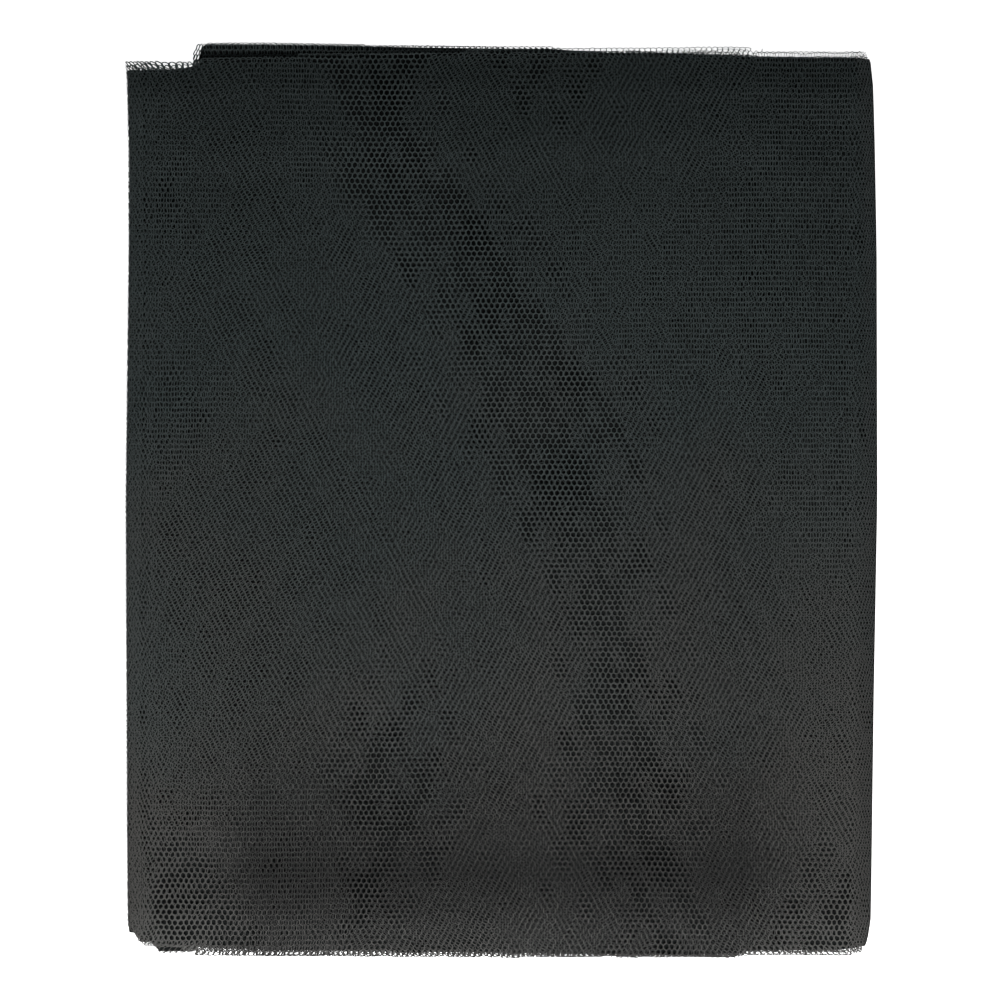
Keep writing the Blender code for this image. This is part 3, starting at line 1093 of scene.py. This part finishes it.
# %% The ply under the lowest leaf
FACE_HEIGHT = 0.66 * MM
PAST_END = 0.2 * MM
FLAT_COLUMNS = 8
ONTO_NEXT, BEFORE_FOLD = 1.2 * MM, 1 * MM


def fold_line(fold, above_reach, below_reach):
    """Round a fold: in from the side on the leaf above, round, and back on the leaf below."""
    which = fold_side(fold)
    high, low_limit = leaf_limit(fold + 1, which, table_v), leaf_limit(fold, which, table_v)
    above = leaf_line(fold + 1, high + inwards(which) * above_reach, high, FLAT_COLUMNS)
    below = leaf_line(fold, low_limit, low_limit + inwards(which) * below_reach, FLAT_COLUMNS)
    round_part = loop(fold, below[0], above[-1], ROUND_STEPS)[::-1]
    line = np.concatenate([above, round_part, below])
    return line if which == RIGHT else line[::-1]


def floor_line():
    """Along the lowest leaf from its right end, round the lowest fold, and onto the leaf over it."""
    line = fold_line(0, ONTO_NEXT, BEFORE_FOLD)
    stop = leaf_limit(0, RIGHT, table_v) - END_RADIUS
    return np.concatenate([leaf_line(0, stop, line[0, :, 0], LEAF_COLUMNS)[:-1], line])


def leaf_cut(leaf):
    """A cut a little past a leaf's own ends."""
    return cut_at(partial(ends, leaf), PAST_END, PAST_END)


floor_path = drape_table(floor_line())
floor_range = whole_range(floor_path[1], margin=0.0)
lowest = net_piece("netting_lowest", floor_path, FACE_HEIGHT, COVER_YARN, leaf_cut(0), sway,
                   u_range=floor_range)

# %% The folds between
FOLD_REACH = 3.5 * MM
FOLD_SEED = 10
parts = [lowest]
for fold in range(1, TOP):
    path = drape_table(fold_line(fold, FOLD_REACH, FOLD_REACH))
    parts.append(net_piece(f"fold_{fold}", path, FACE_HEIGHT, COVER_YARN, leaf_cut(fold), sway,
                           seed=FOLD_SEED + fold))

# %% [markdown]
# The ends of the leaves are cut plies. A leaf gets two rims, one on its upper face and one on its lower, and
# each rim has its own uneven reach, so that no two cut edges lie over each other. The covering leaf has its
# upper plies already and gets only the lower rim. The tab is seen from above, so it gets a third, top ply. A
# narrow piece of single ply shows as a fringe left of the tab.

# %% The cut ends
RIM_DEPTH = 3.2 * MM
TAB_DEPTH = 9.5 * MM
TAB_SHARE = 0.3
START_SHARES = (0.31, 0.47)
# The rims of the upper and lower faces take the darker copies of the yarn, as painted shade.
UPPER_FACE = (0, 0.62 * MM, SECOND_YARN_PAINTED_SHADE)
LOWER_FACE = (1, -0.62 * MM, THIRD_YARN_PAINTED_SHADE)
TAB_FACE = (2, 0.72 * MM, COVER_YARN)


def rim_reach(seed, x):
    """An uneven cut: two long waves across the leaf, different for each ply."""
    return (0.6 + 0.2 * np.sin(x / (17 * MM) + 2.1 * seed) + 0.2 * np.sin(x / (5.3 * MM) + 1.3 * seed)) * MM


def rim_cut(leaf, seed):
    """A test for whether a pillar lies close to one of a leaf's ends, and what presses the cut itself.

    The tab is a folded end, so its plies hardly reach past it.
    """
    share, depth = (TAB_SHARE, TAB_DEPTH) if leaf == TOP - 1 else (1.0, RIM_DEPTH)

    def limits(x):
        lower, upper = ends(leaf, x)
        return lower - rim_reach(seed, x), upper + share * rim_reach(seed + 5, x)

    def keep(v, x):
        lower, upper = limits(x)
        return ((v > lower) & (v < lower + RIM_DEPTH)) | ((v < upper) & (v > upper - depth))
    return keep, pressing(limits)


def rim_faces(leaf):
    """The faces of a leaf that get a rim, each with its number, its height over the middle and its yarn."""
    if leaf == TOP:
        return [LOWER_FACE]
    return [UPPER_FACE, LOWER_FACE] + ([TAB_FACE] if leaf == TOP - 1 else [])


for leaf in range(LEAVES):
    left, right = leaf_limit(leaf, LEFT, table_v), leaf_limit(leaf, RIGHT, table_v)
    path = drape_table(leaf_line(leaf, left, right, LEAF_COLUMNS))
    for face, height, yarn in rim_faces(leaf):
        seed = 2 * leaf + face
        start = (START_SHARES[0] * seed % 1.0 * PITCH, START_SHARES[1] * seed % 1.0 * ROW)
        parts.append(net_piece(f"rim_{leaf}_{face}", path, height, yarn, rim_cut(leaf, seed), sway,
                               seed=seed, start=start))
    if leaf == TOP - 1:
        tab_path = path

# %% The fringe beside the tab
FRINGE_HEIGHT = 0.3 * MM
FRINGE_RANGE = (-112 * MM, -90 * MM)
FRINGE_SEED = 30
FRINGE_DROP = 0.6 * MM


def beside_tab(v, x):
    """A narrow piece of single ply that shows left of the tab and ends in a round corner at the top."""
    left = (-102.9 + 2.4 * ease((v / MM - 148.5) / 4.5)) * MM
    return (x > left) & (x < -99.0 * MM) & (v > 144.0 * MM) & (v < 151.6 * MM)


def slanted(u, v):
    """The fringe leans and sits a little low beside the tab, and its meshes are drawn together across."""
    return np.stack([(v - 149 * MM) * 0.25 - (u + 100 * MM) * 0.5, 0.0 * v - FRINGE_DROP], axis=-1)


def fringe_widths(u, v):
    """The drawn-together yarn of the fringe is wider than usual, and widest at its foot."""
    wide = 1.4 + 1.6 * ease((148.5 - v / MM) / 2.5)
    return np.stack([wide, wide], axis=-1)


parts.append(net_piece("tab_fringe", tab_path, FRINGE_HEIGHT, COVER_YARN, (beside_tab, None), slanted,
                       seed=FRINGE_SEED, u_range=FRINGE_RANGE, thicken=fringe_widths))

# %% [markdown]
# ## Cloth by its own measures
#
# The pack is one sheet of net. Each layer made here rides on the root in place of the imported netting, and for
# each open ply the area that its yarn covers is measured from its mesh.

# %% Ride, replace and measure
rims = parts[1:]
for piece in [inside, cover, second, third] + parts:
    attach(piece, "root")
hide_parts("netting")
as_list(rims)
for piece in (cover, second, third, lowest):
    covered = sum(polygon.area for polygon in piece.data.polygons)
    print(f"{piece.name}: yarn covers {covered:.4f} square metres")

# %% [markdown]
# ## The stage, the light and the camera
#
# The pack lies on a white floor and is seen from straight above. A long soft light over the lower end makes
# that end the brighter one, and a weak even sky fills the holes a little.

# %% The floor
FLOOR_HALF = 3.0


def floor_piece():
    """A plain square, white and a little luminous, so that it stays even."""
    points = np.array([(-1.0, -1.0, 0.0), (1.0, -1.0, 0.0), (1.0, 1.0, 0.0), (-1.0, 1.0, 0.0)]) * FLOOR_HALF
    piece = make_piece("floor", points, np.array([(0, 1, 2, 3)]))
    material, _, shader = new_material("floor_white", roughness=0.9, specular=0.1)
    shader["Base Color"].default_value = (0.9, 0.9, 0.9, 1.0)
    shader["Emission Color"].default_value = (1.0, 1.0, 1.0, 1.0)
    shader["Emission Strength"].default_value = 1.0
    piece.data.materials.append(material)
    return piece


floor_piece()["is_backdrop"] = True
print(f"floor: {2 * FLOOR_HALF} m square")

# %% The light
SKY_COLOUR = (0.95, 0.98, 1.0, 1.0)
SKY_STRENGTH = 0.13
KEY_PLACE, KEY_TARGET = Vector((0.0, -0.42, 0.42)), Vector((0.0, -0.05, 0.0))
KEY_SIZE = (0.5, 0.25)
KEY_POWER = 5.7

lamp = bpy.data.lights.new("key", "AREA")
lamp.shape = "RECTANGLE"
lamp.size, lamp.size_y = KEY_SIZE
lamp.energy = KEY_POWER
key = bpy.data.objects.new("key", lamp)
key.location = KEY_PLACE
key.rotation_euler = (KEY_TARGET - KEY_PLACE).to_track_quat("-Z", "Y").to_euler()
bpy.context.scene.collection.objects.link(key)
world = bpy.data.worlds.new("sky")
world.use_nodes = True
background = world.node_tree.nodes["Background"].inputs
background["Color"].default_value = SKY_COLOUR
background["Strength"].default_value = SKY_STRENGTH
bpy.context.scene.world = world
bpy.context.scene.view_settings.view_transform = "Standard"
print(f"key light: {KEY_POWER} W, sky: {SKY_STRENGTH}")

# %% The camera
CAMERA_HEIGHT = 2.0
CLIP_END = 20.0
VIEW_WIDTH = 332.0 * MM
PHOTO_CENTRE = (-0.5 * MM, 0.17 * MM)
SENSOR = 36.0

lens = bpy.data.cameras.new("camera")
lens.sensor_width = SENSOR
lens.lens = SENSOR * CAMERA_HEIGHT / VIEW_WIDTH
lens.clip_end = CLIP_END
camera = bpy.data.objects.new("camera", lens)
camera.location = (*PHOTO_CENTRE, cad_high[2] + CAMERA_HEIGHT)
bpy.context.scene.collection.objects.link(camera)
bpy.context.scene.camera = camera
print(f"lens: {lens.lens:.1f} mm")

# %% [markdown]
# ## The size of what was made
#
# Both boxes, of the imported model and of the looks, are worked out and printed. The looks may stand only a
# little proud of the imported model.

# %% The two boxes
visual_low, visual_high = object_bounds()
boxes = {
    "cad": [list(map(float, cad_low)), list(map(float, cad_high))],
    "visual": [list(map(float, visual_low)), list(map(float, visual_high))],
}
print("cad box:", boxes["cad"])
print("visual box:", boxes["visual"])
